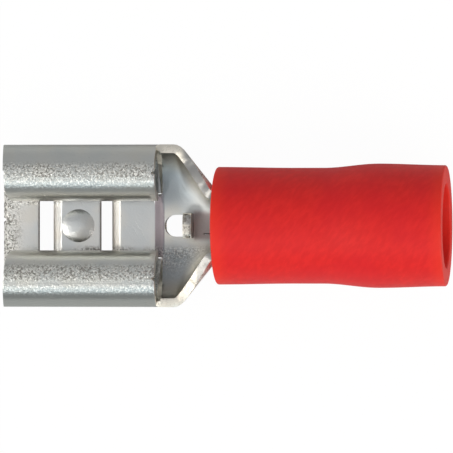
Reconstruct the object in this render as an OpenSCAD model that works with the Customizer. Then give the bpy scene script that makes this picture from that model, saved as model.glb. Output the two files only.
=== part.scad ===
// Insulated female spade terminal: a push-on receptacle for a flat tab, with a crimp barrel.
// Two pieces: one strip of tin-plated brass folded to shape, and a soft plastic sleeve on its barrel.
// +X runs from the tab slot to the wire end, and +Z is the side on which the rolls close.
// The origin is the middle of the tab slot, at its mouth.

/* [Sheet] */
// Thickness of the brass strip
sheet = 0.4; // [0.36:0.02:0.42]

/* [Tab slot] */
// Width of the tab that pushes in
tab_w = 6.3; // [6:0.1:6.6]
// Thickness of the tab, between the base and the lips
tab_t = 0.8; // [0.75:0.05:0.9]
// Side play of the tab, both sides together
tab_play = 0.35; // [0.2:0.05:0.5]
// Gap between the free lips of the two rolls
lip_gap = 2.26; // [2.1:0.02:2.4]
// Length of the rolls
roll_l = 7.33; // [7.3:0.01:7.4]
// Set-back of the crown of each roll at the mouth
crown_setback = 0.36; // [0.2:0.01:0.45]
// Set-back of the foot of each lip at the mouth
lip_setback = 0.7; // [0.5:0.05:0.9]
// Bevel on the front edge of the base
mouth_bevel = 0.13; // [0.05:0.01:0.2]
// Size of the shear nicks at the ends of the rolls and the front edge
nick = 0.14; // [0.08:0.02:0.18]

/* [Spring windows and dimple] */
// Distance of the front window from the mouth
front_window_x = 1.63; // [1.5:0.01:1.7]
// Open length of the front window
front_window_l = 0.66; // [0.5:0.02:0.8]
// Distance of the rear window from the mouth
rear_window_x = 4.51; // [4.45:0.01:4.6]
// Open length of the rear window
rear_window_l = 0.52; // [0.5:0.02:0.7]
// Width of both windows
window_w = 2.7; // [2.4:0.1:3]
// Length of the bevel behind each window
window_bevel = 0.42; // [0.3:0.02:0.45]
// Distance of the locking dimple from the mouth
dimple_x = 3.49; // [3.4:0.01:3.55]
// Radius of the locking dimple
dimple_r = 0.73; // [0.6:0.01:0.75]
// Height of the locking dimple
dimple_h = 0.15; // [0.1:0.01:0.2]

/* [Neck] */
// Height of the step that stops the tab
step_h = 0.3; // [0.2:0.02:0.34]
// Length of the step
step_l = 0.4; // [0.35:0.05:0.5]
// Width over which the step is flat
step_w = 2.9; // [2.6:0.1:3.2]
// Slit between each roll and the neck wall behind it
relief_slit = 0.1; // [0.1:0.01:0.14]
// Height above the floor, at mid-sheet, where the neck's walls stand upright
scoop_rise = 1.33; // [1.25:0.01:1.36]
// Where the neck starts to narrow
taper_x = 8.32; // [8.2:0.01:8.4]
// Where the neck has narrowed to the barrel
taper_end_x = 9.92; // [9.9:0.01:9.96]
// How far each neck wall has closed over at the barrel, in degrees from the floor
wall_wrap = 118; // [105:1:122]
// Width of the hole that the wire stop is cut from
hole_w = 1.02; // [0.9:0.02:1.1]
// Length of the hole
hole_l = 1.01; // [0.96:0.01:1.04]
// Width of the upright wire stop
stop_w = 1.18; // [1.1:0.02:1.24]
// Height of the wire stop above the neck's floor
stop_h = 0.88; // [0.7:0.02:0.94]

/* [Barrel] */
// Outer diameter of the wire barrel
barrel_od = 3.5; // [3.4:0.05:3.6]
// Where the barrel closes
barrel_x = 10.12; // [10.08:0.01:10.2]
// Where the barrel ends
barrel_end_x = 15.6; // [15:0.1:16]
// Width of the butt seam
seam_w = 0.06; // [0.04:0.01:0.1]
// How far the seam sits from the top, in degrees
seam_turn = 14; // [0:1:20]

/* [Sleeve] */
// Length of the sleeve
sleeve_l = 10.51; // [10.4:0.01:11]
// Outer diameter at the front
sleeve_front_d = 5.37; // [5.34:0.01:5.5]
// Outer diameter at the waist
sleeve_waist_d = 5.28; // [5.2:0.01:5.34]
// Outer diameter at the swell behind the barrel
sleeve_swell_d = 5.66; // [5.55:0.01:5.8]
// Outer diameter at the rear
sleeve_rear_d = 5.51; // [5.4:0.01:5.6]
// Bore for the insulated wire
wire_entry_d = 3.83; // [3.5:0.01:4]
// Throat that leads the bare wire into the barrel
throat_d = 2.86; // [2.8:0.02:3]
// Rounding of the sleeve's edges
sleeve_edge = 0.08; // [0.05:0.01:0.14]

/* [Hidden] */
$fn = 64;
far = 50;                                   // reach of a cutting block, beyond any part of the terminal
lap = 0.02;                                 // overlap that joins neighbouring pieces of one solid

// Receptacle
half_w = (tab_w + tab_play) / 2 + sheet;    // half of the outer width over the rolls
roll_r = (half_w - lip_gap / 2) / 2;        // outer radius of each roll
roll_y = half_w - roll_r;                   // distance of a roll's centre from the middle
base_top = -tab_t / 2;
base_z = base_top - sheet;                  // underside of the base
roll_z = base_z + roll_r;                   // height of a roll's centre
crown_z = base_z + 2 * roll_r;              // top of the rolls

// Neck and barrel
floor_mid_z = base_z + step_h + sheet / 2;  // mid-sheet height of the neck's floor
floor_z = floor_mid_z + sheet / 2;          // top of the neck's floor
barrel_r = barrel_od / 2;
bore_r = barrel_r - sheet;
countersink = 0.12;                         // of the barrel's rear end
axis_z = floor_z + bore_r - lap;            // height of the wire axis
neck_x = roll_l + relief_slit;              // front edge of the neck walls
step_top_x = neck_x + 0.17;                 // top of the step, and front edge of the floor behind it
step_x = step_top_x - step_l;               // foot of the step
neck_corner = 0.08;                         // rounding of a neck wall's front corner
scoop_end_x = barrel_x + 0.2;               // end of the neck walls, inside the barrel's wall
tuck = 0.05;                                // how far the neck's end sits inside the barrel's outside
wall_steps = 10;                             // facets across each half of the neck
hole_x = neck_x + 0.06;                     // front of the hole
stop_x = hole_x + hole_l;                   // front face of the wire stop
slit_x = stop_x + sheet + 0.47;             // front of the slit in the floor
sleeve_x = 10.19;                           // front of the sleeve
sleeve_end_x = sleeve_x + sleeve_l;

// ---------------------------------------------------------------- curves

function mix(a, b, t) = a + (b - a) * t;
function ease(t) = t * t * (3 - 2 * t);
function unit(t) = min(1, max(0, t));

// Points of an arc about a centre
function arc(centre, r, from, to, n = 8) =
    [for (i = [0:n]) centre + r * [cos(mix(from, to, i / n)), sin(mix(from, to, i / n))]];

// A height that runs level to the corner at x0, bends over 2 * k, and runs on at a slope
function bend(x, x0, slope, k) =
    x < x0 - k ? 0 : x > x0 + k ? slope * (x - x0) : slope * pow(x - x0 + k, 2) / (4 * k);

// ---------------------------------------------------------------- neck sections

// Slope at which the walls close in from the rolls' width to the barrel
taper = (half_w - barrel_r + tuck) / (taper_end_x - taper_x);

// Outer half width of the neck at x, with a soft bend and a rounded front edge
function neck_half_w(x) =
    half_w - bend(x, taper_x, taper, 0.2) + bend(x, taper_end_x, taper, 0.12)
    - (neck_corner - sqrt(pow(neck_corner, 2) - pow(max(0, neck_corner - (x - neck_x)), 2)));

// Angle through which each wall has turned at x
function wrap_at(x) = mix(90, wall_wrap, ease(unit((x - taper_x) / (barrel_x - taper_x))));

// Height of the section's centre above the floor at x, both at mid-sheet
function rise_at(x) =
    mix(scoop_rise, barrel_r - sheet / 2 - tuck, ease(unit((x - taper_x) / (taper_end_x - taper_x))));

// One half section at x and at offset d from mid-sheet: part of an ellipse, from the middle of the
// floor up round the wall
function half_section(x, d) =
    let (wide = neck_half_w(x) - sheet / 2, rise = rise_at(x))
    [
        for (i = [0:wall_steps])
            let (
                a = wrap_at(x) * i / wall_steps,
                across = rise * sin(a),
                down = wide * cos(a),
                reach = d / norm([across, down])
            )
            [wide * sin(a) + reach * across, floor_mid_z + rise * (1 - cos(a)) - reach * down]
    ];

// Points of a half section placed at x, on one side
function placed(points, x, side) = [for (p = points) [x, side * p[0], p[1]]];

function reversed(list) = [for (i = [len(list) - 1:-1:0]) list[i]];

function after_first(list) = [for (i = [1:len(list) - 1]) list[i]];

// Joins equal C-shaped rings of points, each [x, y, z], into a closed solid: a ring runs along the
// outside of the sheet and back along the inside, so its ends are closed by strips across the sheet
module skin(rings) {
    n = len(rings[0]);
    last = len(rings) - 1;
    points = [for (ring = rings) each ring];
    sides = [
        for (i = [0:last - 1], j = [0:n - 1])
            let (k = (j + 1) % n)
            each [
                [i * n + j, (i + 1) * n + j, i * n + k],
                [i * n + k, (i + 1) * n + j, (i + 1) * n + k],
            ]
    ];
    front = [for (j = [0:n / 2 - 2]) [j, j + 1, n - 2 - j, n - 1 - j]];
    rear = [for (strip = front) [for (j = reversed(strip)) last * n + j]];
    polyhedron(points, concat(front, sides, rear), convexity = 6);
}

// ---------------------------------------------------------------- pieces of the terminal

// Extrudes a profile drawn in [y, z] along +X
module along_x(from, length) {
    translate([from, 0, 0]) rotate([90, 0, 90]) linear_extrude(length) children();
}

// Extrudes a profile drawn in [x, z] across Y, about the middle
module across_y(width) {
    translate([0, width / 2, 0]) rotate([90, 0, 0]) linear_extrude(width) children();
}

// Does something on both sides of the middle
module both_sides() {
    children();
    mirror([0, 1, 0]) children();
}

// Section of one roll: three quarters of a turn from the base, ending in the lip
module roll_section() {
    translate([roll_y, roll_z]) difference() {
        circle(roll_r);
        circle(roll_r - sheet);
        translate([-far, -far]) square(far);
    }
    translate([roll_y - roll_r, tab_t / 2]) square([sheet, roll_z - tab_t / 2 + lap]);
}

// Flat base and the two rolls, as they leave the forming die
module rolled_channel() {
    along_x(0, roll_l) {
        translate([-roll_y, base_z]) square([2 * roll_y, sheet]);
        roll_section();
        mirror([1, 0]) roll_section();
    }
}

// What the mouth loses: raked roll fronts, lips cut back for the tab, and a bevelled base
module mouth_cuts() {
    both_sides() translate([0, roll_y + far / 2, 0]) across_y(far)
        polygon([
            [-far, base_top], [0, base_top],
            [crown_setback, crown_z + lap], [-far, crown_z + lap]
        ]);
    across_y(2 * roll_y)
        polygon([[-far, 0], [lip_setback, 0], [crown_setback, crown_z + lap], [-far, crown_z + lap]]);
    across_y(far)
        polygon([
            [-lap, base_top + lap],
            [-lap, base_top - mouth_bevel - lap],
            [mouth_bevel + lap, base_top + lap]
        ]);
}

// Small vee-shaped shear mark, cut downwards into an edge at x
module shear_nick(x, y, top, depth) {
    translate([x, y, top - depth]) linear_extrude(depth + lap)
        polygon([[-nick, 0], [0, nick], [nick, 0], [0, -nick]]);
}

module shear_nicks() {
    both_sides() for (x = [crown_setback, roll_l]) shear_nick(x, roll_y, crown_z, sheet / 2);
    shear_nick(0, 0.28, base_top, sheet / 2);
}

// Window through the base, with a bevel on the edge that the tab's nose meets
module spring_window(x, length) {
    across_y(window_w) polygon([
        [x, base_z - lap],
        [x + length, base_z - lap],
        [x + length, base_z + sheet / 4],
        [x + length + window_bevel, base_top],
        [x + length + window_bevel, base_top + lap],
        [x, base_top + lap],
    ]);
}

// Round dome of the dimple, lowered by drop
module dome(drop) {
    r = (pow(dimple_r, 2) + pow(dimple_h, 2)) / (2 * dimple_h);
    translate([dimple_x, 0, base_top + dimple_h - r - drop]) sphere(r);
}

module locking_dimple() {
    intersection() {
        dome(0);
        translate([dimple_x, 0, base_top - sheet / 2]) cylinder(r = dimple_r + lap, h = sheet);
    }
}

// Raised floor behind the tab stop, bent up from the base in a soft S
module step_plate() {
    steps = 10;
    rise = [for (i = [0:steps]) [step_x + step_l * i / steps, base_z + step_h * ease(i / steps)]];
    end = [step_top_x + sheet / 2, base_z + step_h];
    under = concat([[step_x - lap, base_z]], rise, [end]);
    over = [for (i = [len(under) - 1:-1:0]) under[i] + [0, sheet]];
    across_y(step_w) polygon(concat(under, over));
}

// Scoop behind the rolls, whose walls close in on the barrel
module neck_scoop() {
    stations = [
        for (i = [0:2]) neck_x + neck_corner * (1 - cos(45 * i)),
        for (i = [1:12]) mix(neck_x + neck_corner, scoop_end_x, i / 12)
    ];
    skin([
        for (x = stations)
            let (under = half_section(x, sheet / 2), over = half_section(x, -sheet / 2))
            concat(
                placed(reversed(under), x, -1), placed(after_first(under), x, 1),
                placed(reversed(over), x, 1), placed(after_first(over), x, -1)
            )
    ]);
}

// Puts what is drawn along Z on the wire axis, from x
module on_axis(x) {
    translate([x, 0, axis_z]) rotate([0, 90, 0]) children();
}

// Wire barrel, before it is bored
module barrel_tube() {
    on_axis(barrel_x) cylinder(r = barrel_r, h = barrel_end_x - barrel_x);
}

// Bore of the wire barrel, with a countersunk end for the wire
module barrel_bore() {
    length = barrel_end_x - barrel_x;
    on_axis(barrel_x - lap) cylinder(r = bore_r, h = length + 2 * lap);
    on_axis(barrel_end_x - countersink)
        cylinder(r1 = bore_r, r2 = bore_r + countersink + lap, h = countersink + lap);
}

// Slit between the two edges of the strip that meet on the barrel
module butt_seam() {
    translate([barrel_x - 0.5, 0, axis_z]) rotate([seam_turn, 0, 0])
        translate([0, -seam_w / 2, bore_r / 2]) cube([far, seam_w, barrel_r]);
}

// Short slit pierced in the floor, to the side of the middle, where the neck starts to close
module floor_slit() {
    translate([slit_x, -0.4 - seam_w / 2, floor_mid_z - sheet]) cube([0.4, seam_w, 2 * sheet]);
}

// Hole left in the floor by the wire stop: round in front, square at the hinge
module stop_hole() {
    translate([0, 0, floor_mid_z - sheet]) linear_extrude(2 * sheet) {
        translate([hole_x + hole_w / 2, 0]) circle(hole_w / 2);
        translate([hole_x + hole_w / 2, -hole_w / 2]) square([stop_x - hole_x - hole_w / 2, hole_w]);
    }
}

// Tongue bent upright from the floor, which stops the wire at the mouth of the barrel
module wire_stop() {
    corner = stop_w / 2 - 0.12;
    foot = floor_z - sheet / 2;
    translate([stop_x, 0, 0]) rotate([90, 0, 90]) linear_extrude(sheet) {
        translate([-stop_w / 2, foot]) square([stop_w, floor_z + stop_h - corner - foot]);
        intersection() {
            translate([-stop_w / 2, foot]) square([stop_w, floor_z + stop_h - foot]);
            translate([0, floor_z + stop_h - corner - 0.12]) circle(corner + 0.12);
        }
    }
}

// ---------------------------------------------------------------- nodes

// The whole folded strip of brass
module receptacle_terminal() {
    color("silver") difference() {
        union() {
            difference() {
                rolled_channel();
                mouth_cuts();
                spring_window(front_window_x, front_window_l);
                spring_window(rear_window_x, rear_window_l);
                translate([step_x, -step_w / 2, base_z - lap]) cube([far, step_w, sheet + 2 * lap]);
            }
            locking_dimple();
            step_plate();
            difference() {
                neck_scoop();
                translate([0, -step_w / 2, base_z - lap]) cube([step_top_x, step_w, far]);
            }
            barrel_tube();
        }
        barrel_bore();
        dome(sheet);
        shear_nicks();
        stop_hole();
        butt_seam();
        floor_slit();
    }
    color("silver") wire_stop();
}

// Outer radius of the sleeve at x: a faint waist over the barrel, then the swell behind it
function sleeve_r(x) =
    let (waist_x = sleeve_x + 3.6, swell_x = sleeve_x + 4.9, full_x = sleeve_x + 7.4)
    (x < waist_x ? mix(sleeve_front_d, sleeve_waist_d, ease((x - sleeve_x) / (waist_x - sleeve_x)))
    : x < full_x ? mix(sleeve_waist_d, sleeve_swell_d, ease(unit((x - swell_x) / (full_x - swell_x))))
    : mix(sleeve_swell_d, sleeve_rear_d, ease((x - full_x) / (sleeve_end_x - full_x)))) / 2;

// Soft sleeve on the barrel, open behind it for the wire's insulation
module insulating_sleeve() {
    e = sleeve_edge;
    entry_r = wire_entry_d / 2;
    funnel_x = barrel_end_x + 1.7;
    throat_lip = 0.1;
    outside = [for (i = [1:40]) let (x = mix(sleeve_x + e, sleeve_end_x - e, i / 41)) [sleeve_r(x), x]];
    profile = concat(
        arc([sleeve_front_d / 2 - e, sleeve_x + e], e, -90, 0, 5),
        outside,
        arc([sleeve_rear_d / 2 - e, sleeve_end_x - e], e, 0, 90, 5),
        arc([entry_r + e, sleeve_end_x - e], e, 90, 180, 5),
        [[entry_r, funnel_x]],
        arc([throat_d / 2 + throat_lip, barrel_end_x + throat_lip], throat_lip, 165, 270, 5),
        [
            [barrel_r, barrel_end_x],
            [barrel_r, sleeve_x + e],
            [barrel_r + e, sleeve_x],
        ]
    );
    color("red") translate([0, 0, axis_z]) rotate([0, 90, 0]) rotate_extrude() polygon(profile);
}

receptacle_terminal();
insulating_sleeve();
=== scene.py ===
import math

import bmesh
import bpy
from mathutils import Matrix, Vector


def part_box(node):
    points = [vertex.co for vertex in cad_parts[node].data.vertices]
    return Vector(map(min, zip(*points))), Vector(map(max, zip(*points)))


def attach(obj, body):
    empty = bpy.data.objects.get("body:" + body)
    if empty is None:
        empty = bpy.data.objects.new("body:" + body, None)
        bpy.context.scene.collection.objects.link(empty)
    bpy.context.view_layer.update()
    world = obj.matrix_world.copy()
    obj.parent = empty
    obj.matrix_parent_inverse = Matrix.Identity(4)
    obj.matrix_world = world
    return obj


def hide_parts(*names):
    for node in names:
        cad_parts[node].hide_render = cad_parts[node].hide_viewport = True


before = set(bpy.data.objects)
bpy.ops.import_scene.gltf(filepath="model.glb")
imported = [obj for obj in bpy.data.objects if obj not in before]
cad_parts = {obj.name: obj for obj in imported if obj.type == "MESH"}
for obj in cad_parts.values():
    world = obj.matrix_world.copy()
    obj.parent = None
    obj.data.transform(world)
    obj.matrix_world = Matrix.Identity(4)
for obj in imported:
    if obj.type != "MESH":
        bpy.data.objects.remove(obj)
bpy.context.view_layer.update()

# Looks of an insulated female spade terminal: a folded receptacle of tin-plated brass in a red
# vinyl sleeve. Pieces are modelled in millimetres about the part's own origin, +X towards the wire
# and +Z on the side where the rolls close, and are scaled to metres when they are finished.

MM = 0.001

# ---------------------------------------------------------------- sizes, in millimetres

STRIP_LO, STRIP_HI = (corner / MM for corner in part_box("receptacle_terminal"))
SLEEVE_LO, SLEEVE_HI = (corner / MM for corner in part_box("insulating_sleeve"))

SHEET = 0.4                              # thickness of the brass
TAB_T = 0.8                              # height of the tab slot
LIP_GAP = 2.26                           # between the lips of the two rolls
HALF_W = STRIP_HI.y
BASE_Z = STRIP_LO.z
BASE_MID = BASE_Z + SHEET / 2
BASE_TOP = BASE_Z + SHEET
ROLL_END = 7.33
ROLL_R = (HALF_W - LIP_GAP / 2) / 2
ROLL_MID_R = ROLL_R - SHEET / 2
ROLL_Y = HALF_W - ROLL_R
ROLL_Z = BASE_Z + ROLL_R
CROWN_Z = BASE_Z + 2 * ROLL_R

CROWN_SETBACK = 0.36                     # how far the mouth is raked back at the crown of a roll
LIP_SETBACK = 0.7                       # and at the foot of its lip
MOUTH_REACH = 1.3                        # length over which the mouth's shape fades out
MOUTH_BEVEL = 0.13
NICK = 0.16                              # shear marks at the ends of the crowns
MOUTH_NICK_Y = 0.28
WINDOWS = ((1.63, 0.66), (4.51, 0.52))   # place and open length of the spring windows
WINDOW_HALF_W = 1.35
WINDOW_BEVEL = 0.42
DIMPLE_X, DIMPLE_R, DIMPLE_H = 3.49, 0.73, 0.15

STEP_H = 0.3                             # step that stops the tab
STEP_X = 7.03
STEP_BACK = 0.1                          # how far the middle of the step lies behind the neck walls
NECK_X = 7.43                            # front of the neck walls
FLOOR_MID = BASE_MID + STEP_H
SCOOP_RISE = 1.33                        # height above the floor where the neck's walls stand upright
STEP_HALF_W = 1.45
RELIEF = 0.05                            # slit beside the step
NECK_CORNER = 0.08
TAPER_X, TAPER_END_X = 8.32, 9.92
WALL_WRAP = 118                          # degrees that a wall has turned where the barrel starts
HOLE_HALF_W = 0.51
HOLE_X = 7.56
STOP_X = 8.5                             # front face of the wire stop
STOP_TOP = 0.78
STOP_HALF_W = 0.59
STOP_HINGE = 0.42                        # from the front face back to the tongue's root
STOP_CREST = 0.12                        # rounding of the tongue's top

AXIS_Z = (SLEEVE_LO.z + SLEEVE_HI.z) / 2
BARREL_R = 1.75
BARREL_MID_R = BARREL_R - SHEET / 2
BARREL_X = 10.12
BARREL_END = STRIP_HI.x
SEAM_TURN = 14                           # degrees from the top to the butt seam
SEAM_HALF = 0.03
SLIT_X, SLIT_Y, SLIT_L = 9.37, -0.4, 0.4   # short slit pierced in the floor

SLEEVE_X, SLEEVE_END = SLEEVE_LO.x, SLEEVE_HI.x
SLEEVE_FRONT_R, SLEEVE_WAIST_R = 2.685, 2.64
SLEEVE_SWELL_R, SLEEVE_REAR_R = 2.83, 2.755
SLEEVE_EDGE = 0.08
ENTRY_R, THROAT_R = 1.915, 1.43
FUNNEL = 1.7                             # from the barrel's end to where the wire entry narrows

EDGE_ROUND = 0.045                       # rounding of the press tool's cut edges
EDGE_ANGLE = math.radians(48)            # sharper folds than this are rounded
SHARP_ANGLE = math.radians(42)           # sharper folds than this aren't shaded smooth
PUNCH_MARGIN = 0.16                      # reach of a punch's cuts round its outline
VIEW_WIDTH = 20.685                      # width of the picture at the middle of the part


def mix(a, b, t):
    return a + (b - a) * t


def ease(t):
    t = min(1, max(0, t))
    return t * t * (3 - 2 * t)


def bend(x, corner, slope, half):
    """A height that is level up to the corner, then runs on at a slope, with a soft bend."""
    if x < corner - half:
        return 0
    if x > corner + half:
        return slope * (x - corner)
    return slope * (x - corner + half) ** 2 / (4 * half)


def steps(start, end, count):
    """Evenly spaced stations after start, up to and including end."""
    return [mix(start, end, i / count) for i in range(1, count + 1)]


# ---------------------------------------------------------------- mesh helpers


def extruded(bm, edges):
    """Extrudes a row of edges, and returns the new row's edges and vertices."""
    made = bmesh.ops.extrude_edge_only(bm, edges=edges)["geom"]
    verts = [part for part in made if isinstance(part, bmesh.types.BMVert)]
    fresh = set(verts)
    row = [e for e in made if isinstance(e, bmesh.types.BMEdge) and fresh.issuperset(e.verts)]
    return row, verts


def chain(bm, points):
    """A row of vertices joined by edges."""
    verts = [bm.verts.new(p) for p in points]
    return [bm.edges.new(pair) for pair in zip(verts, verts[1:])]


def cut_along(bm, near, point, normal):
    """Cuts the faces that near() picks where a plane crosses them."""
    faces = [f for f in bm.faces if near(f)]
    edges = {e for f in faces for e in f.edges}
    verts = {v for f in faces for v in f.verts}
    bmesh.ops.bisect_plane(
        bm, geom=[*faces, *edges, *verts], dist=1e-5, plane_co=point, plane_no=normal
    )


def punch(bm, outline, z_range, remove=True):
    """Cuts a convex outline, anticlockwise in plan, through the sheet between two heights."""
    xs, ys = zip(*outline)

    def near(face):
        middle = face.calc_center_median()
        return (
            min(xs) - PUNCH_MARGIN < middle.x < max(xs) + PUNCH_MARGIN
            and min(ys) - PUNCH_MARGIN < middle.y < max(ys) + PUNCH_MARGIN
            and z_range[0] < middle.z < z_range[1]
        )

    sides = []
    for (ax, ay), (bx, by) in zip(outline, outline[1:] + outline[:1]):
        sides.append((Vector((ax, ay, 0)), Vector((by - ay, ax - bx, 0)).normalized()))
    for point, normal in sides:
        cut_along(bm, near, point, normal)
    inside = [
        f for f in bm.faces
        if near(f) and all((f.calc_center_median() - p).dot(n) < 1e-4 for p, n in sides)
    ]
    if remove:
        bmesh.ops.delete(bm, geom=inside, context="FACES")


def circle(x, y, r, count):
    """Anticlockwise outline of a circle."""
    turns = [2 * math.pi * (i + 0.5) / count for i in range(count)]
    return [(x + r * math.cos(a), y + r * math.sin(a)) for a in turns]


def finished(name, bm, material_names):
    """Turns a bmesh in millimetres into a smooth object in metres, in the scene."""
    bmesh.ops.scale(bm, vec=(MM, MM, MM), verts=bm.verts)
    mesh = bpy.data.meshes.new(name)
    bm.to_mesh(mesh)
    bm.free()
    for material in material_names:
        mesh.materials.append(MATERIALS[material])
    mesh.shade_smooth()
    mesh.set_sharp_from_angle(angle=SHARP_ANGLE)
    piece = bpy.data.objects.new(name, mesh)
    bpy.context.scene.collection.objects.link(piece)
    return piece


# ---------------------------------------------------------------- brass strip


def channel_section():
    """Mid-sheet points across the base and both rolls, from one lip to the other."""
    turns = [math.radians(180 - 7.5 * i) for i in range(37)]
    roll = [(ROLL_Y - ROLL_MID_R, TAB_T / 2)]
    roll += [(ROLL_Y + ROLL_MID_R * math.cos(a), ROLL_Z + ROLL_MID_R * math.sin(a)) for a in turns]
    outer = [(mix(ROLL_Y, STEP_HALF_W, i / 5), BASE_MID) for i in (1, 2, 3, 4)]
    flat = [(STEP_HALF_W * (1 - i / 16), BASE_MID) for i in range(33)]
    half = roll + outer
    return half + flat + [(-y, z) for y, z in reversed(half)]


def roll_channel(bm):
    """Base and rolls, swept from the mouth to the rear of the rolls."""
    stops = [0, MOUTH_BEVEL, *steps(MOUTH_BEVEL, MOUTH_REACH, 9)]
    stops += [*steps(MOUTH_REACH, STEP_X - 0.03, 42), STEP_X, *steps(STEP_X, ROLL_END, 2)]
    row = chain(bm, [(0, y, z) for y, z in channel_section()])
    for here, ahead in zip(stops, stops[1:]):
        row, verts = extruded(bm, row)
        bmesh.ops.translate(bm, vec=(ahead - here, 0, 0), verts=verts)


def mouth_setback(point):
    """How far back the sheet's front edge lies at a point of the section."""
    rise = (point.z - BASE_MID) / (CROWN_Z - BASE_MID)
    if abs(point.y) >= ROLL_Y:
        return CROWN_SETBACK * max(0, rise)
    if point.z < BASE_TOP:
        return 0
    fall = (CROWN_Z - point.z) / (CROWN_Z - TAB_T / 2)
    return mix(CROWN_SETBACK, LIP_SETBACK, fall * fall)


def shape_mouth(bm):
    """Rakes the fronts of the rolls and cuts their lips back, so that the tab finds its way in."""
    for v in bm.verts:
        if v.co.x < MOUTH_REACH:
            v.co.x += mouth_setback(v.co) * (1 - v.co.x / MOUTH_REACH)


def punch_base(bm):
    """Windows, dimple and shear marks of the receptacle."""
    under = (BASE_Z - 1, BASE_TOP + 0.1)
    for x, length in WINDOWS:
        rear = x + length
        for line in (x, rear, rear + WINDOW_BEVEL):
            def near(face):
                middle = face.calc_center_median()
                return middle.z < BASE_TOP and abs(middle.x - line) < 0.3

            cut_along(bm, near, (line, 0, 0), (1, 0, 0))
        w = WINDOW_HALF_W
        punch(bm, [(x, -w), (rear, -w), (rear, w), (x, w)], under)
    punch(bm, circle(DIMPLE_X, 0, DIMPLE_R, 32), under, remove=False)
    dome_r = (DIMPLE_R**2 + DIMPLE_H**2) / (2 * DIMPLE_H)
    for v in bm.verts:
        reach = math.hypot(v.co.x - DIMPLE_X, v.co.y)
        if reach < DIMPLE_R and v.co.z < BASE_TOP:
            dome = math.sqrt(dome_r**2 - reach**2) - dome_r + DIMPLE_H
            v.co.z += dome * ease(0.5 + 2 * (1 - reach / DIMPLE_R))
    y = MOUTH_NICK_Y
    punch(bm, [(-0.1, y + NICK), (-0.1, y - NICK), (NICK, y)], under)
    over = (CROWN_Z - 0.4, CROWN_Z + 1)
    for side in (-1, 1):
        y = side * ROLL_Y
        rear = ROLL_END
        punch(bm, [(-NICK, y + NICK), (-NICK, y - NICK), (NICK, y)], over)
        punch(bm, [(rear + NICK, y - NICK), (rear + NICK, y + NICK), (rear - NICK, y)], over)


NECK_FRONT_W = HALF_W - SHEET / 2 - NECK_CORNER
STEP_EDGE = math.degrees(math.asin(STEP_HALF_W / NECK_FRONT_W)) / 45


def neck_half_width(x):
    """Outer half width of the neck at x, down to the barrel's."""
    slope = (HALF_W - BARREL_R) / (TAPER_END_X - TAPER_X)
    narrowing = bend(x, TAPER_X, slope, 0.2) - bend(x, TAPER_END_X, slope, 0.12)
    lead = min(NECK_CORNER, max(0, NECK_CORNER - (x - NECK_X)))
    return HALF_W - narrowing - (NECK_CORNER - math.sqrt(NECK_CORNER**2 - lead**2))


def seam_angle(side):
    """Angle from the floor at which the sheet ends on one side of the butt seam."""
    return 180 + side * SEAM_TURN - math.degrees(SEAM_HALF / BARREL_MID_R)


def neck_point(x, along):
    """Mid-sheet point at x: along is 0 in the middle, 2 at the top of a wall and 3 at the seam."""
    side, reach = math.copysign(1, along), abs(along)
    closing = ease((x - TAPER_X) / (TAPER_END_X + 0.12 - TAPER_X))
    rise = mix(SCOOP_RISE, BARREL_MID_R, closing)
    wide = max(BARREL_MID_R, neck_half_width(x) - SHEET / 2)
    wrap = mix(90, WALL_WRAP, ease((x - TAPER_X) / (BARREL_X - TAPER_X)))
    turn = wrap * reach / 2 if reach <= 2 else mix(wrap, seam_angle(side), reach - 2)
    a = math.radians(turn)
    point = Vector((x, side * wide * math.sin(a), FLOOR_MID + rise * (1 - math.cos(a))))
    if x < NECK_X:
        start = Vector((x, along / STEP_EDGE * STEP_HALF_W, BASE_MID))
        t = (x - STEP_X) / (NECK_X - STEP_X)
        point = start.lerp(point, mix(t, ease(t), 0.35))
        point.x = x
    return point


def run_on(bm, edges, stations, along):
    """Carries a row of the neck on through stations, with each vertex in its place along it."""
    for x in stations:
        edges, verts = extruded(bm, edges)
        for v in verts:
            v.co = neck_point(x, v[along])
    return edges


def widen(bm, edges, x, along, values):
    """Adds a stretch of new vertices to both ends of a row."""
    for side in (-1, 1):
        end = max({v for e in edges for v in e.verts}, key=lambda v: side * v[along])
        for value in values:
            fresh = bm.verts.new(neck_point(x, side * value))
            fresh[along] = side * value
            edges.append(bm.edges.new((end, fresh)))
            end = fresh
    return edges


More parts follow.
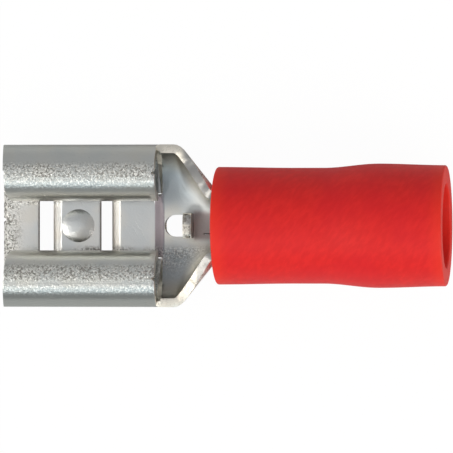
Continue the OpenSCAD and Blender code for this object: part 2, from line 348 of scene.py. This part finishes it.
def fold_neck(bm):
    """Step, scoop and barrel, carried on from the rear of the base."""
    along = bm.verts.layers.float.new("along")
    bm.verts.ensure_lookup_table()
    inner = [
        f for f in bm.faces
        if f.calc_center_median().x > STEP_X and f.calc_center_median().z < BASE_TOP
        and abs(f.calc_center_median().y) < STEP_HALF_W
    ]
    bmesh.ops.delete(bm, geom=inner, context="FACES")
    for v in bm.verts:
        if v.co.z < BASE_TOP and v.co.x > STEP_X + 0.01 and abs(v.co.y) < STEP_HALF_W + 0.01:
            v.co.y += math.copysign(RELIEF, v.co.y)
    row = [
        e for e in bm.edges
        if all(
            abs(v.co.x - STEP_X) < 1e-3 and v.co.z < BASE_TOP
            and abs(v.co.y) < STEP_HALF_W + 1e-3 for v in e.verts
        )
    ]
    for v in {v for e in row for v in e.verts}:
        v[along] = v.co.y / STEP_HALF_W * STEP_EDGE
    row = run_on(bm, row, steps(STEP_X, NECK_X, 8), along)
    row = widen(bm, row, NECK_X, along, steps(STEP_EDGE, 2, 18))
    front = [NECK_X + NECK_CORNER * t for t in (0.13, 0.5, 1)]
    row = run_on(bm, row, [*front, *steps(NECK_X + NECK_CORNER, BARREL_X, 22)], along)
    row = widen(bm, row, BARREL_X, along, steps(2, 3, 12))
    rear = [*steps(BARREL_X, SLEEVE_X + 0.1, 5), *steps(SLEEVE_X + 0.1, BARREL_END, 8)]
    run_on(bm, row, rear, along)
    for v in bm.verts:
        if v.co.z < FLOOR_MID + 0.3:
            middle = ease((1.42 - abs(v.co.y)) / 0.5)
            onset = ease((v.co.x - STEP_X + 0.45) / 0.45)
            fade = ease((NECK_X + 0.6 - v.co.x) / 0.6)
            v.co.x += STEP_BACK * middle * min(onset, fade)


def cut_wire_stop(bm):
    """Round-fronted hole in the floor, and the tongue that stands up from its rear edge."""
    rear = STOP_X + STOP_HINGE
    front, back = SLIT_X, SLIT_X + SLIT_L
    low, high = SLIT_Y - SEAM_HALF, SLIT_Y + SEAM_HALF
    slit = [(front, low), (back, low), (back, high), (front, high)]
    punch(bm, slit, (FLOOR_MID - 0.3, FLOOR_MID + 0.5))
    w = HOLE_HALF_W
    turns = [math.radians(15 * i) for i in range(13)]
    nose = [(HOLE_X + w - w * math.sin(a), w * math.cos(a)) for a in turns]
    floor = (FLOOR_MID - 0.3, FLOOR_MID + 0.2)
    punch(bm, [*nose, (rear, -w), (rear, w)], floor)
    hinge = [
        e for e in bm.edges
        if e.is_boundary and all(
            abs(v.co.x - rear) < 1e-3 and abs(v.co.y) < w + 1e-3
            and v.co.z < FLOOR_MID + 0.2 for v in e.verts
        )
    ]
    radius = rear - STOP_X - SHEET / 2
    path = [
        (rear - radius * math.sin(a), FLOOR_MID + radius * (1 - math.cos(a)))
        for a in (math.radians(22.5 * i) for i in range(1, 5))
    ]
    path += [(path[-1][0], z) for z in steps(path[-1][1], STOP_TOP, 7)]
    spread = STOP_HALF_W / w
    for i, (x, z) in enumerate(path):
        hinge, verts = extruded(bm, hinge)
        for v in verts:
            y = v.co.y * mix(1, spread, 1 / len(path)) if abs(v.co.y) < STOP_HALF_W else v.co.y
            drop = (abs(y) / STOP_HALF_W) ** 4 * 0.16 if i == len(path) - 1 else 0
            v.co = Vector((x, y, z - drop))


def thickened(bm):
    """The sheet in its full thickness, with the cut edges in the second material."""
    mesh = bpy.data.meshes.new("strip_middle")
    bm.to_mesh(mesh)
    bm.free()
    carrier = bpy.data.objects.new("strip_middle", mesh)
    bpy.context.scene.collection.objects.link(carrier)
    solidify = carrier.modifiers.new("thickness", "SOLIDIFY")
    solidify.thickness = SHEET
    solidify.offset = 0
    solidify.use_even_offset = True
    solidify.material_offset_rim = 1
    for material in ("tin_plate", "sheared_edge", "shaded_corner"):
        mesh.materials.append(MATERIALS[material])
    bpy.context.view_layer.update()
    shaped = carrier.evaluated_get(bpy.context.evaluated_depsgraph_get())
    solid = bmesh.new()
    solid.from_mesh(shaped.to_mesh())
    bpy.data.objects.remove(carrier)
    bpy.data.meshes.remove(mesh)
    return solid


def coin_edges(bm):
    """Ramps behind the windows and along the mouth, pressed into the upper face of the base."""
    for v in bm.verts:
        if abs(v.co.z - BASE_TOP) > 0.02:
            continue
        if v.co.x < MOUTH_BEVEL and abs(v.co.y) < ROLL_Y:
            v.co.z -= MOUTH_BEVEL * (1 - v.co.x / MOUTH_BEVEL)
        for x, length in WINDOWS:
            back = x + length + WINDOW_BEVEL - v.co.x
            if 0 < back < WINDOW_BEVEL + 1e-3 and abs(v.co.y) < WINDOW_HALF_W + 1e-3:
                v.co.z -= 0.75 * SHEET * back / WINDOW_BEVEL


def soften_edges(bm, width):
    """Rounds every sharp edge that the press tool leaves."""
    sharp = [e for e in bm.edges if e.is_manifold and e.calc_face_angle() > EDGE_ANGLE]
    made = bmesh.ops.bevel(
        bm, geom=sharp, offset=width, offset_type="OFFSET", segments=2, profile=0.5,
        affect="EDGES", material=-1, clamp_overlap=True
    )
    for face in made["faces"]:
        face.material_index = 2


def brass_strip():
    bm = bmesh.new()
    roll_channel(bm)
    punch_base(bm)
    shape_mouth(bm)
    fold_neck(bm)
    cut_wire_stop(bm)
    bmesh.ops.remove_doubles(bm, verts=bm.verts, dist=0.012)
    bmesh.ops.dissolve_degenerate(bm, edges=bm.edges, dist=0.004)
    bmesh.ops.recalc_face_normals(bm, faces=bm.faces)
    bm = thickened(bm)
    coin_edges(bm)
    crest = [
        e for e in bm.edges
        if e.calc_face_angle(0) > EDGE_ANGLE and all(
            abs(v.co.x - STOP_X - SHEET / 2) < 0.25 and abs(v.co.y) < 0.8
            and v.co.z > 0.3 for v in e.verts
        )
    ]
    bmesh.ops.bevel(
        bm, geom=crest, offset=STOP_CREST, offset_type="OFFSET", segments=4, profile=0.5,
        affect="EDGES", material=-1, clamp_overlap=True
    )
    soften_edges(bm, EDGE_ROUND)
    return finished("folded_brass_strip", bm, ("tin_plate", "sheared_edge", "shaded_corner"))


# ---------------------------------------------------------------- sleeve


def sleeve_radius(x):
    """Outer radius of the sleeve: a faint waist over the barrel, then the swell behind it."""
    waist, swell, full = SLEEVE_X + 3.6, SLEEVE_X + 4.9, SLEEVE_X + 7.4
    if x < waist:
        return mix(SLEEVE_FRONT_R, SLEEVE_WAIST_R, ease((x - SLEEVE_X) / (waist - SLEEVE_X)))
    if x < full:
        return mix(SLEEVE_WAIST_R, SLEEVE_SWELL_R, ease((x - swell) / (full - swell)))
    return mix(SLEEVE_SWELL_R, SLEEVE_REAR_R, ease((x - full) / (SLEEVE_END - full)))


def arc(x, r, radius, start, end, count):
    """Points of a rounded edge in the sleeve's profile, as places along the axis and radii."""
    turns = [math.radians(mix(start, end, i / count)) for i in range(count + 1)]
    return [(x + radius * math.cos(a), r + radius * math.sin(a)) for a in turns]


def vinyl_sleeve():
    e = SLEEVE_EDGE
    funnel = BARREL_END + FUNNEL
    body = steps(SLEEVE_X + e, SLEEVE_END - e, 64)[:-1]
    profile = [
        *arc(SLEEVE_X + e, SLEEVE_FRONT_R - e, e, 180, 90, 6),
        *[(x, sleeve_radius(x)) for x in body],
        *arc(SLEEVE_END - e, SLEEVE_REAR_R - e, e, 90, 0, 6),
        *arc(SLEEVE_END - e, ENTRY_R + e, e, 0, -90, 6),
        *[(x, ENTRY_R) for x in steps(SLEEVE_END - e, funnel, 12)],
        *[(x, mix(ENTRY_R, THROAT_R, ease((funnel - x) / (FUNNEL - 0.1))))
          for x in steps(funnel, BARREL_END + 0.1, 10)],
        (BARREL_END, THROAT_R + 0.1),
        (BARREL_END, BARREL_R),
        *[(x, BARREL_R) for x in steps(BARREL_END, SLEEVE_X + e, 12)],
        *arc(SLEEVE_X + e, BARREL_R + e, e, -90, -180, 4)[1:],
    ]
    bm = bmesh.new()
    edges = chain(bm, [(x, 0, AXIS_Z + r) for x, r in profile])
    ends = [v for v in bm.verts if len(v.link_edges) == 1]
    edges.append(bm.edges.new(ends))
    bmesh.ops.spin(
        bm, geom=[*bm.verts, *edges], cent=(0, 0, AXIS_Z), axis=(1, 0, 0), dvec=(0, 0, 0),
        angle=2 * math.pi, steps=128, use_merge=True
    )
    bmesh.ops.remove_doubles(bm, verts=bm.verts, dist=1e-4)
    bmesh.ops.recalc_face_normals(bm, faces=bm.faces)
    return finished("vinyl_sleeve", bm, ("red_vinyl",))


# ---------------------------------------------------------------- shader building


class Shade:
    """The node tree of one material. node() makes every node."""

    def __init__(self, tree):
        self.tree = tree

    def node(self, kind, settings=None, inputs=None):
        made = self.tree.nodes.new("ShaderNode" + kind)
        for name, value in (settings or {}).items():
            setattr(made, name, value)
        for name, value in (inputs or {}).items():
            self.plug(made.inputs[name], value)
        return made

    def plug(self, socket, value):
        if isinstance(value, Field):
            value = value.socket
        if isinstance(value, bpy.types.NodeSocket):
            self.tree.links.new(value, socket)
        else:
            socket.default_value = value

    def field(self, kind, settings=None, inputs=None):
        return Field(self, self.node(kind, settings, inputs).outputs[0])


class Field:
    """A number that varies over a surface, with the arithmetic that makes Math nodes."""

    def __init__(self, shade, socket):
        self.shade = shade
        self.socket = socket

    def math(self, operation, *values):
        inputs = dict(enumerate(values))
        return self.shade.field("Math", {"operation": operation}, inputs)

    def __add__(self, other):
        return self.math("ADD", self, other)

    def __radd__(self, other):
        return self.math("ADD", other, self)

    def __sub__(self, other):
        return self.math("SUBTRACT", self, other)

    def __rsub__(self, other):
        return self.math("SUBTRACT", other, self)

    def __mul__(self, other):
        return self.math("MULTIPLY", self, other)

    def __rmul__(self, other):
        return self.math("MULTIPLY", other, self)

    def over(self, low, high):
        """0 below low, 1 above high, and soft between; low may be above high."""
        inputs = {"Value": self, "From Min": low, "From Max": high}
        return self.shade.field("MapRange", {"interpolation_type": "SMOOTHSTEP"}, inputs)

    def size(self):
        return self.math("ABSOLUTE", self)

    def or_else(self, other):
        return self.math("MAXIMUM", self, other)


def place_in_mm(shade, turn=(0, 0, 0), stretch=(1, 1, 1)):
    """Object coordinates in millimetres, turned and stretched for a pattern."""
    coords = shade.node("TexCoord").outputs["Object"]
    scale = tuple(s / MM for s in stretch)
    turned = shade.node("Mapping", None, {"Vector": coords, "Rotation": turn}).outputs[0]
    return shade.node("Mapping", None, {"Vector": turned, "Scale": scale}).outputs[0]


def axes_of(shade, place):
    parts = shade.node("SeparateXYZ", None, {"Vector": place}).outputs
    return [Field(shade, part) for part in parts]


def noise(shade, place, per_mm, detail=2, roughness=0.5, shift=0):
    """Cloudy noise from 0 to 1, with about per_mm clouds to a millimetre."""
    shape = {"Scale": per_mm, "Detail": detail, "Roughness": roughness}
    return shade.field("TexNoise", {"noise_dimensions": "4D"}, {"Vector": place, "W": shift, **shape})


def blend(shade, factor, a, b):
    """Mixes two colours."""
    return shade.node("Mix", {"data_type": "RGBA"}, {0: factor, 6: a, 7: b}).outputs[2]


def new_material(name, preview):
    material = bpy.data.materials.new(name)
    material.use_nodes = True
    material.node_tree.nodes.clear()
    material.diffuse_color = preview
    return material, Shade(material.node_tree)


def finish_material(shade, inputs, height, strength, depth_mm):
    """Principled surface with a bumped normal."""
    relief = {"Height": height, "Strength": strength, "Distance": depth_mm * MM}
    normal = shade.node("Bump", None, relief)
    surface = shade.node("BsdfPrincipled", None, {**inputs, "Normal": normal.outputs[0]})
    shade.node("OutputMaterial", None, {"Surface": surface.outputs[0]})


# ---------------------------------------------------------------- materials


def tin_plate():
    """Bright tin over brass: cloudy grey, orange peel, scratches, and pits along worked edges, with
    painted glints, highlights, light and shade.
    """
    material, shade = new_material("tin_plate", (0.7, 0.7, 0.68, 1))
    place = place_in_mm(shade)
    x, y, z = axes_of(shade, place)
    clouds = noise(shade, place, 0.45, 3)
    warm = noise(shade, place, 0.8, 2, shift=4)
    peel = noise(shade, place, 9, 3, 0.6)
    grain = noise(shade, place, 24, 2, 0.6, shift=2)

    near_lips = y.size().over(0.85, 1.15) * z.over(TAB_T / 2, BASE_TOP) * clouds.over(0.42, 0.6)
    at_mouth = x.over(1.1, 0.3) * z.over(TAB_T / 2, BASE_TOP)
    past_crown = ((y - 0.17).size() - ROLL_Y + 0.1).size()
    on_crowns = past_crown.over(0.52, 0.2) * z.over(ROLL_Z, CROWN_Z - 0.3)
    on_crowns = on_crowns * (0.7 + 0.3 * warm.over(0.4, 0.6))
    worked = near_lips.or_else(on_crowns).or_else(at_mouth)
    # Dark specks are pits in the tin, and in part painted dark sparkle of the orange peel.
    dark = noise(shade, place, 9, 3, 0.7, shift=7).over(0.49, 0.56) * worked
    # Painted glints: white specks in the worked zones and along the highlight band of the rolls.
    on_shine = (y + 0.48).size() - ROLL_Y
    shine = on_shine.size().over(0.35, 0.1) * z.over(ROLL_Z, CROWN_Z - 0.3)
    bright = noise(shade, place, 10, 3, 0.7, shift=11).over(0.50, 0.57) * worked.or_else(shine)
    stray = noise(shade, place, 3.4, 4, 0.75, shift=9).over(0.66, 0.76)
    pits = dark.or_else(stray * 0.5)

    lines = place_in_mm(shade, turn=(0, 0, math.radians(58)), stretch=(0.25, 5, 0.25))
    scratches = noise(shade, lines, 2.2, 2, 0.4, shift=3).over(0.68, 0.74)

    cool = blend(shade, clouds.over(0.35, 0.65), (0.68, 0.71, 0.72, 1), (0.80, 0.80, 0.78, 1))
    tinted = blend(shade, warm.over(0.45, 0.7) * 0.6, cool, (0.80, 0.76, 0.68, 1))
    # Painted light: the top of the base is lighter towards the mouth and a little darker further
    # back.
    on_base = z.over(BASE_TOP + 0.2, BASE_TOP)
    tinted = blend(shade, x.over(0.6, 3) * on_base * 0.3, tinted, (0.62, 0.64, 0.66, 1))
    tinted = blend(shade, x.over(1.6, 0.2) * on_base * 0.8, tinted, (0.97, 0.96, 0.93, 1))
    # Painted shade: a dark purple grey on the step that stops the tab.
    on_step = x.over(STEP_X, STEP_X + 0.06) * x.over(NECK_X + 0.14, NECK_X + 0.1)
    on_step = on_step * y.size().over(1.6, 1.3)
    tinted = blend(shade, on_step * 0.9, tinted, (0.30, 0.26, 0.30, 1))
    # Painted shade: the sides of the rolls at mid height are a darker green grey, most on the outer
    # side towards -Y.
    roll_side_shade = z.over(ROLL_Z - 0.2, ROLL_Z + 0.2) * x.over(NECK_X, NECK_X - 0.05)
    roll_side_shade = roll_side_shade * (0.5 + 0.5 * y.over(-2.9, -3.3))
    tinted = blend(shade, roll_side_shade, tinted, (0.58, 0.61, 0.59, 1))
    # Painted shade and reflection inside the neck: blue grey near the middle, olive brown towards the
    # walls, and darker grey towards the neck's front.
    neck_shade = x.over(NECK_X, NECK_X + 0.1) * x.over(9.5, 8.4) * y.size().over(0.4, 1.5)
    neck_shade_colour = blend(shade, y.size().over(2.2, 3.0), (0.36, 0.41, 0.45, 1), (0.44, 0.41, 0.33, 1))
    tinted = blend(shade, neck_shade * 0.85, tinted, neck_shade_colour)
    tinted = blend(shade, neck_shade * x.over(8.5, 7.8) * 0.4, tinted, (0.26, 0.28, 0.30, 1))
    # Painted highlight: a cream sheen high on the neck's walls towards the barrel.
    flank_highlight = x.over(8.2, 9.0) * y.size().over(0.7, 1.3) * (z - FLOOR_MID).over(0.3, 0.8)
    tinted = blend(shade, flank_highlight * 0.7, tinted, (0.93, 0.88, 0.78, 1))
    # Painted light: a near white line along the foot of each lip, where the gap below would shade it.
    lip_foot_light = y.size().over(1.75, 1.3) * z.over(TAB_T / 2 - 0.1, TAB_T / 2 + 0.1)
    tinted = blend(shade, lip_foot_light * 0.85, tinted, (0.98, 0.96, 0.89, 1))
    # Painted shadow: a dark purple brown patch on the floor just behind the wire stop.
    stop_shadow = x.over(STOP_X + 0.3, STOP_X + 0.5) * y.size().over(0.8, 0.5)
    stop_shadow = stop_shadow * z.over(FLOOR_MID + 0.9, FLOOR_MID + 0.4)
    tinted = blend(shade, stop_shadow * 0.75, tinted, (0.30, 0.22, 0.22, 1))
    # Painted glints laid over the colour.
    glinting = blend(shade, bright * 0.9, tinted, (1.0, 1.0, 0.97, 1))
    pitted = blend(shade, pits * 0.8, glinting, (0.20, 0.19, 0.17, 1))
    rough = 0.24 + 0.12 * peel + 0.25 * pits + 0.1 * scratches
    rough = rough + 0.3 * on_step + 0.16 * x.over(NECK_X, 8.2)
    crush = noise(shade, place, 10, 2, 0.7, shift=14) * (0.12 + 0.88 * worked.or_else(0.5 * shine))
    height = 0.5 * peel + 0.3 * grain + 3.6 * crush - 0.9 * pits - 0.4 * scratches
    inputs = {"Base Color": pitted, "Metallic": 1.0, "Roughness": rough}
    finish_material(shade, inputs, height, 0.6, 0.02)
    return material


def sheared_edge():
    """Cut edge of the strip: burnished, with fine drag lines and a trace of the brass."""
    material, shade = new_material("sheared_edge", (0.8, 0.76, 0.66, 1))
    place = place_in_mm(shade)
    x, y, z = axes_of(shade, place)
    drag = noise(shade, place_in_mm(shade, stretch=(1, 1, 0.15)), 16, 2, 0.6)
    speck = noise(shade, place, 9, 3, 0.7, shift=5).over(0.55, 0.68)
    base = blend(shade, drag, (0.92, 0.90, 0.84, 1), (0.84, 0.79, 0.69, 1))
    torn = y.over(0, 0.1) * x.over(8.4, 8.8) + y.over(0, -0.1) * x.over(9.15, 9.35)
    base = blend(shade, torn * 0.85, base, (0.40, 0.41, 0.42, 1))
    stop = x.over(STOP_X - 0.1, STOP_X) * z.over(FLOOR_MID, FLOOR_MID + 0.3)
    stop = stop * y.size().over(0.75, 0.65)
    mottled = noise(shade, place, 4.5, 3, 0.7, shift=12).over(0.42, 0.58)
    base = blend(shade, stop * mottled * 0.8, base, (0.22, 0.20, 0.18, 1))
    colour = blend(shade, speck * 0.5, base, (0.34, 0.31, 0.27, 1))
    inputs = {"Base Color": colour, "Metallic": 1.0, "Roughness": 0.34 + 0.14 * drag}
    finish_material(shade, inputs, drag - 0.6 * speck, 0.35, 0.02)
    return material


def shaded_corner():
    """Narrow rounding of the cut edges, near black as painted shade, with bright metal only in short
    stretches and on the neck's inner corners.
    """
    material, shade = new_material("shaded_corner", (0.4, 0.38, 0.35, 1))
    place = place_in_mm(shade)
    x, y, z = axes_of(shade, place)
    sideways = axes_of(shade, shade.node("NewGeometry").outputs["Normal"])[1]
    inward = (sideways * y).over(0, -0.1)
    bare = 0.5 * noise(shade, place, 1.6, 3, 0.6, shift=6).over(0.55, 0.68)
    on_neck = x.over(NECK_X + 0.05, NECK_X + 0.12)
    bare = bare.or_else(on_neck * inward.or_else(y.size().over(1.9, 1.5)))
    # The near black is painted shade along the edges.
    colour = blend(shade, bare * 0.9, (0.09, 0.085, 0.08, 1), (0.95, 0.93, 0.88, 1))
    inputs = {"Base Color": colour, "Metallic": 1.0, "Roughness": 0.42 - 0.1 * bare}
    finish_material(shade, inputs, noise(shade, place, 14, 2, 0.6), 0.25, 0.01)
    return material


def red_vinyl():
    """Soft red vinyl: satin skin with a faint slanting mottle, scuffs and moulding grain."""
    material, shade = new_material("red_vinyl", (0.6, 0.03, 0.03, 1))
    place = place_in_mm(shade)
    slant = place_in_mm(shade, turn=(0, 0, math.radians(-52)), stretch=(0.6, 1.6, 0.8))
    mottle = noise(shade, slant, 3.2, 3, 0.55)
    grain = noise(shade, place, 16, 3, 0.6, shift=1)
    clouds = noise(shade, place, 0.5, 2, shift=6)
    scuff = noise(shade, place, 3.2, 5, 0.75, shift=8).over(0.66, 0.76)
    deep = blend(shade, mottle.over(0.35, 0.7), (0.78, 0.014, 0.014, 1), (0.86, 0.020, 0.018, 1))
    colour = blend(shade, clouds.over(0.4, 0.7) * 0.5, deep, (0.74, 0.010, 0.018, 1))
    x = axes_of(shade, place)[0]
    # Painted light: both thin ends of the sleeve are lighter and more orange, as if lit through the
    # vinyl.
    ends = x.over(SLEEVE_X + 0.9, SLEEVE_X).or_else(x.over(SLEEVE_END - 0.8, SLEEVE_END))
    colour = blend(shade, ends * 0.7, colour, (0.95, 0.035, 0.016, 1))
    colour = blend(shade, scuff * 0.2, colour, (0.80, 0.10, 0.09, 1))
    inputs = {
        "Base Color": colour,
        "Roughness": 0.44 + 0.12 * grain + 0.1 * scuff,
        "IOR": 1.45,
        "Specular IOR Level": 0.35,
        "Subsurface Weight": 0.15,
        "Subsurface Radius": (0.0012, 0.0003, 0.0002),
        "Subsurface Scale": 1.0,
        "Sheen Weight": 0.04,
    }
    finish_material(shade, inputs, 0.5 * mottle + 0.3 * grain - 0.3 * scuff, 0.2, 0.02)
    return material


def white_stage():
    """Pale floor that reads as white but keeps the object's shadow."""
    material, shade = new_material("white_stage", (1, 1, 1, 1))
    seen = Field(shade, shade.node("LightPath").outputs["Is Camera Ray"])
    lit = shade.node("BsdfDiffuse", None, {"Color": (0.6, 0.6, 0.6, 1)}).outputs[0]
    glow = shade.node("Emission", None, {"Color": (1, 1, 1, 1), "Strength": 1.04}).outputs[0]
    mixed = shade.node("MixShader", None, {0: seen * 0.93, 1: lit, 2: glow}).outputs[0]
    shade.node("OutputMaterial", None, {"Surface": mixed})
    return material


MATERIALS = {
    "tin_plate": tin_plate(),
    "sheared_edge": sheared_edge(),
    "shaded_corner": shaded_corner(),
    "red_vinyl": red_vinyl(),
    "white_stage": white_stage(),
}


# ---------------------------------------------------------------- stage, lamps and camera


def stage_floor():
    bm = bmesh.new()
    bmesh.ops.create_grid(bm, x_segments=1, y_segments=1, size=900)
    bmesh.ops.translate(bm, vec=(SLEEVE_X, 0, SLEEVE_LO.z - 0.01), verts=bm.verts)
    floor = finished("floor", bm, ("white_stage",))


def aimed(place, target):
    """Turns -Z towards the target, with X level."""
    back = (place - target).normalized()
    side = Vector((0, 1, 0)).cross(back).normalized()
    up = back.cross(side)
    turn = Matrix((side, up, back)).transposed().to_4x4()
    return Matrix.Translation(place * MM) @ turn


def lamp(name, place, target, width, height, power, colour=(1, 1, 1)):
    """Soft rectangular lamp; places and sizes in millimetres."""
    data = bpy.data.lights.new(name, "AREA")
    data.shape = "RECTANGLE"
    data.size = width * MM
    data.size_y = height * MM
    data.energy = power
    data.color = colour
    fitting = bpy.data.objects.new(name, data)
    fitting.matrix_world = aimed(Vector(place), Vector(target))
    bpy.context.scene.collection.objects.link(fitting)


def studio():
    middle = (SLEEVE_X, 0, AXIS_Z)
    # name, place, target, width, height, power in watts, colour
    lamp("strip_key", (10, -215, 190), middle, 300, 80, 0.075, (0.74, 0.93, 1.0))
    lamp("top_panel", (-85, -10, 330), middle, 240, 160, 0.04, (1.0, 0.99, 0.97))
    lamp("mouth_panel", (-305, -70, 185), middle, 260, 180, 0.45, (1.0, 0.95, 0.87))
    lamp("neck_softbox", (-140, -175, 275), middle, 80, 80, 0.11, (1.0, 0.96, 0.89))
    lamp("wire_panel", (300, -220, 190), middle, 300, 200, 0.75, (1.0, 0.98, 0.95))

    world = bpy.data.worlds.new("studio")
    world.use_nodes = True
    bpy.context.scene.world = world
    world.node_tree.nodes.clear()
    shade = Shade(world.node_tree)
    seen = Field(shade, shade.node("LightPath").outputs["Is Camera Ray"])
    x, y, z = axes_of(shade, shade.node("TexCoord").outputs["Generated"])
    walls = 0.22 + 0.2 * y.over(-0.35, 0.35).or_else(z.over(0.35, 0.85))
    strength = walls + (1 - walls) * seen
    backdrop = shade.node("Background", None, {"Color": (1, 1, 1, 1), "Strength": strength})
    shade.node("OutputWorld", None, {"Surface": backdrop.outputs[0]})


def camera():
    """Long lens above the part, leaning a little towards the wire end."""
    target = Vector((10.6, -0.035, AXIS_Z))
    place = Vector((48.5, -0.035, AXIS_Z + 280))
    data = bpy.data.cameras.new("camera")
    data.sensor_width = 36
    data.lens = data.sensor_width * (place - target).length / VIEW_WIDTH
    data.clip_start = 0.01
    data.clip_end = 10
    shot = bpy.data.objects.new("camera", data)
    shot.matrix_world = aimed(place, target)
    bpy.context.scene.collection.objects.link(shot)
    bpy.context.scene.camera = shot


# ---------------------------------------------------------------- the part

strip = brass_strip()
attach(strip, "root")
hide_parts("receptacle_terminal")

sleeve = vinyl_sleeve()
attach(sleeve, "root")
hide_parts("insulating_sleeve")

stage_floor()
studio()
camera()
bpy.context.scene.view_settings.view_transform = "Standard"
